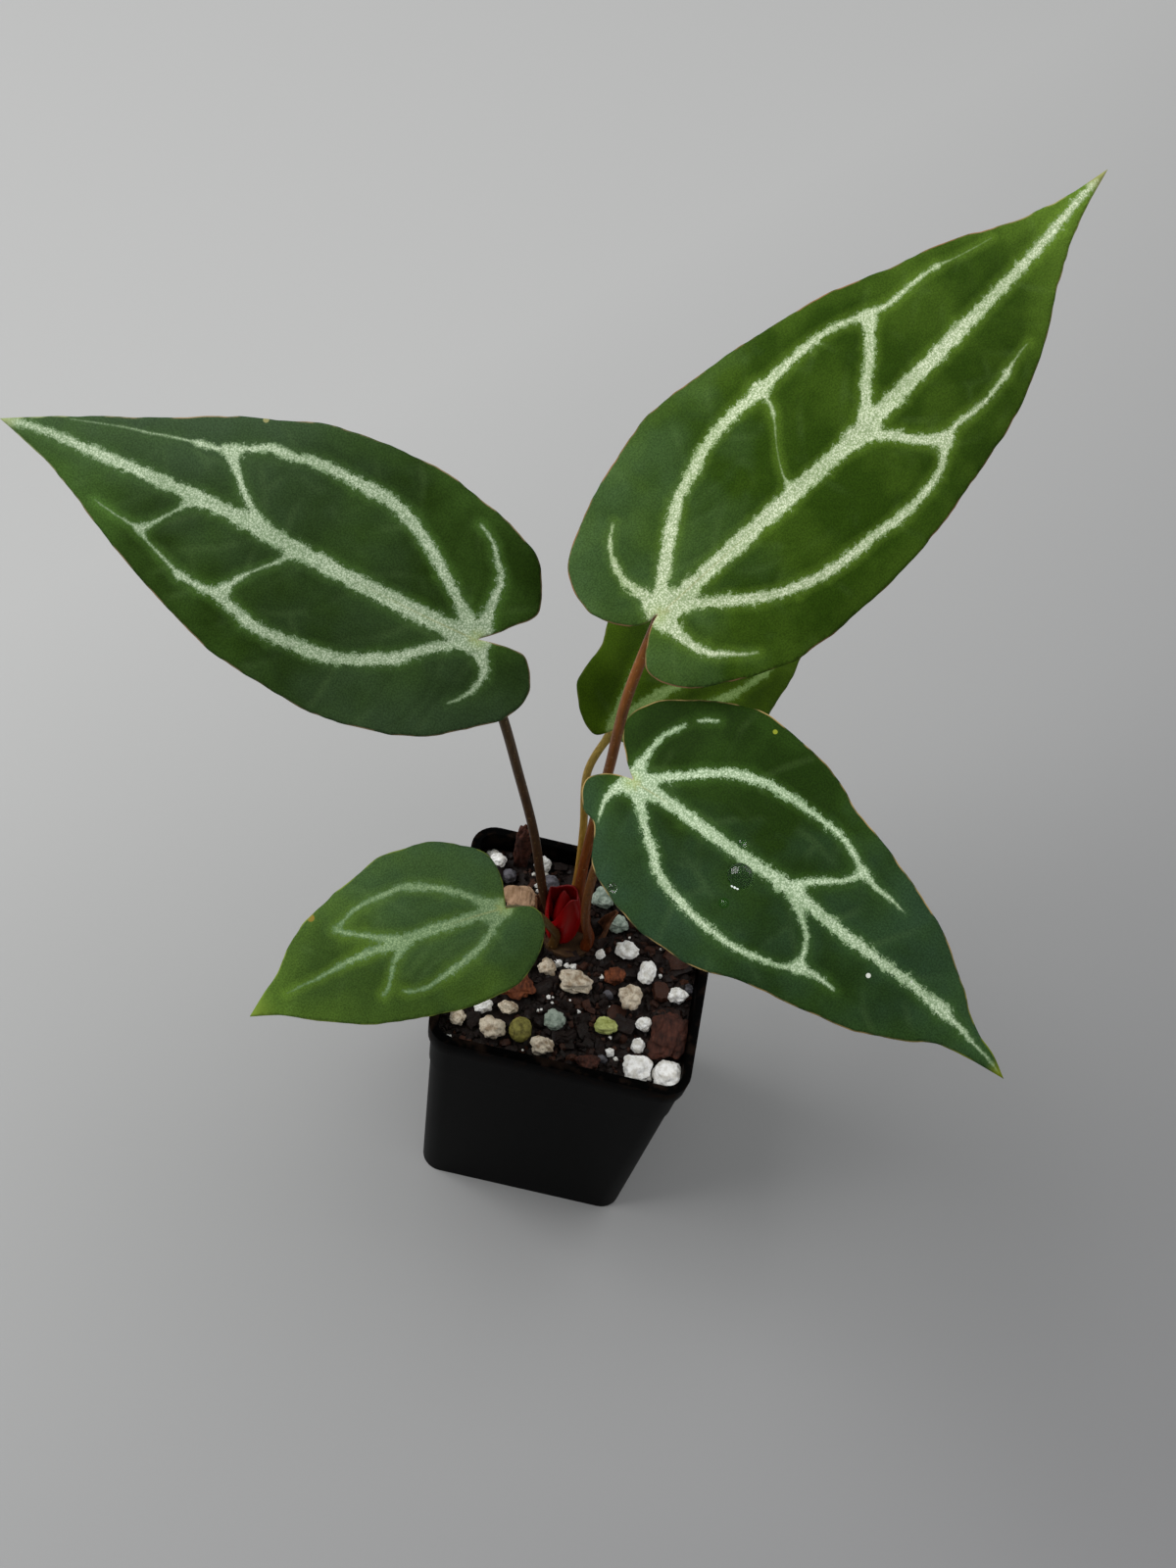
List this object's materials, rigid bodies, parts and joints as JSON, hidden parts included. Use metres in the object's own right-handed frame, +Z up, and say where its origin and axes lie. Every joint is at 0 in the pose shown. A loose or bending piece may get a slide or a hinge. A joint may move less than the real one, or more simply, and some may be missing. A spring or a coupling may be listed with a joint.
{
  "type": "potted anthurium",
  "caption": "Young velvet-leaved anthurium with long-tipped heart-shaped blades on thin stalks, rooted in a bark mix in a small square nursery pot.",
  "frame": {"origin": "centre of the pot's underside, on the surface that the pot stands on", "axes": "+Z up; -Y towards the side where the lower leaves are; +X to the right seen from there"},
  "size_m": [0.2312, 0.1744, 0.2475],
  "materials": {
    "pot_plastic": "black injection-moulded polypropylene, satin",
    "bark_mix": "damp composted bark, rough",
    "pale_stem": "corky stem and fleshy roots",
    "red_sheath": "smooth deep red sheath",
    "old_sheath": "dry papery brown scale",
    "leaf_blade": "velvety dark green leaf with silvery veins",
    "stalk_terracotta": "rust-brown waxy stalk",
    "stalk_brown": "dark brown waxy stalk",
    "stalk_olive": "olive-amber waxy stalk",
    "perlite": "white expanded mineral, rough",
    "pumice": "cream porous mineral, rough",
    "wood_chip": "tan wood chip",
    "bark": "red-brown bark",
    "bark_orange": "orange-brown bark",
    "clay_olive": "olive clay pellet",
    "grain_green": "yellow-green grain",
    "zeolite": "pale blue-green mineral",
    "stone": "grey stone"
  },
  "bodies": {
    "root": {"nursery_pot": "pot_plastic", "potting_mix": "bark_mix", "stem_and_roots": "pale_stem", "red_sheath": "red_sheath", "old_sheath_1": "old_sheath", "old_sheath_2": "old_sheath", "blade_upper_right": "leaf_blade", "blade_upper_left": "leaf_blade", "blade_lower_right": "leaf_blade", "blade_lower_left": "leaf_blade", "blade_rear": "leaf_blade", "petiole_upper_right": "stalk_terracotta", "petiole_upper_left": "stalk_brown", "petiole_lower_right": "stalk_terracotta", "petiole_lower_left": "stalk_olive", "petiole_rear": "stalk_olive", "perlite_1": "perlite", "perlite_2": "perlite", "perlite_3": "perlite", "perlite_4": "perlite", "perlite_5": "perlite", "perlite_6": "perlite", "perlite_7": "perlite", "perlite_8": "perlite", "perlite_9": "perlite", "perlite_10": "perlite", "perlite_11": "perlite", "perlite_12": "perlite", "pumice_1": "pumice", "pumice_2": "pumice", "pumice_3": "pumice", "pumice_4": "pumice", "pumice_5": "pumice", "pumice_6": "pumice", "pumice_7": "pumice", "wood_chip": "wood_chip", "bark_chunk_1": "bark", "bark_chunk_2": "bark", "bark_chunk_3": "bark_orange", "bark_chunk_4": "bark_orange", "bark_chunk_5": "bark", "clay_pellet": "clay_olive", "green_grain": "grain_green", "zeolite_1": "zeolite", "zeolite_2": "zeolite", "zeolite_3": "zeolite", "stone_1": "stone", "stone_2": "stone"}
  },
  "joints": []
}
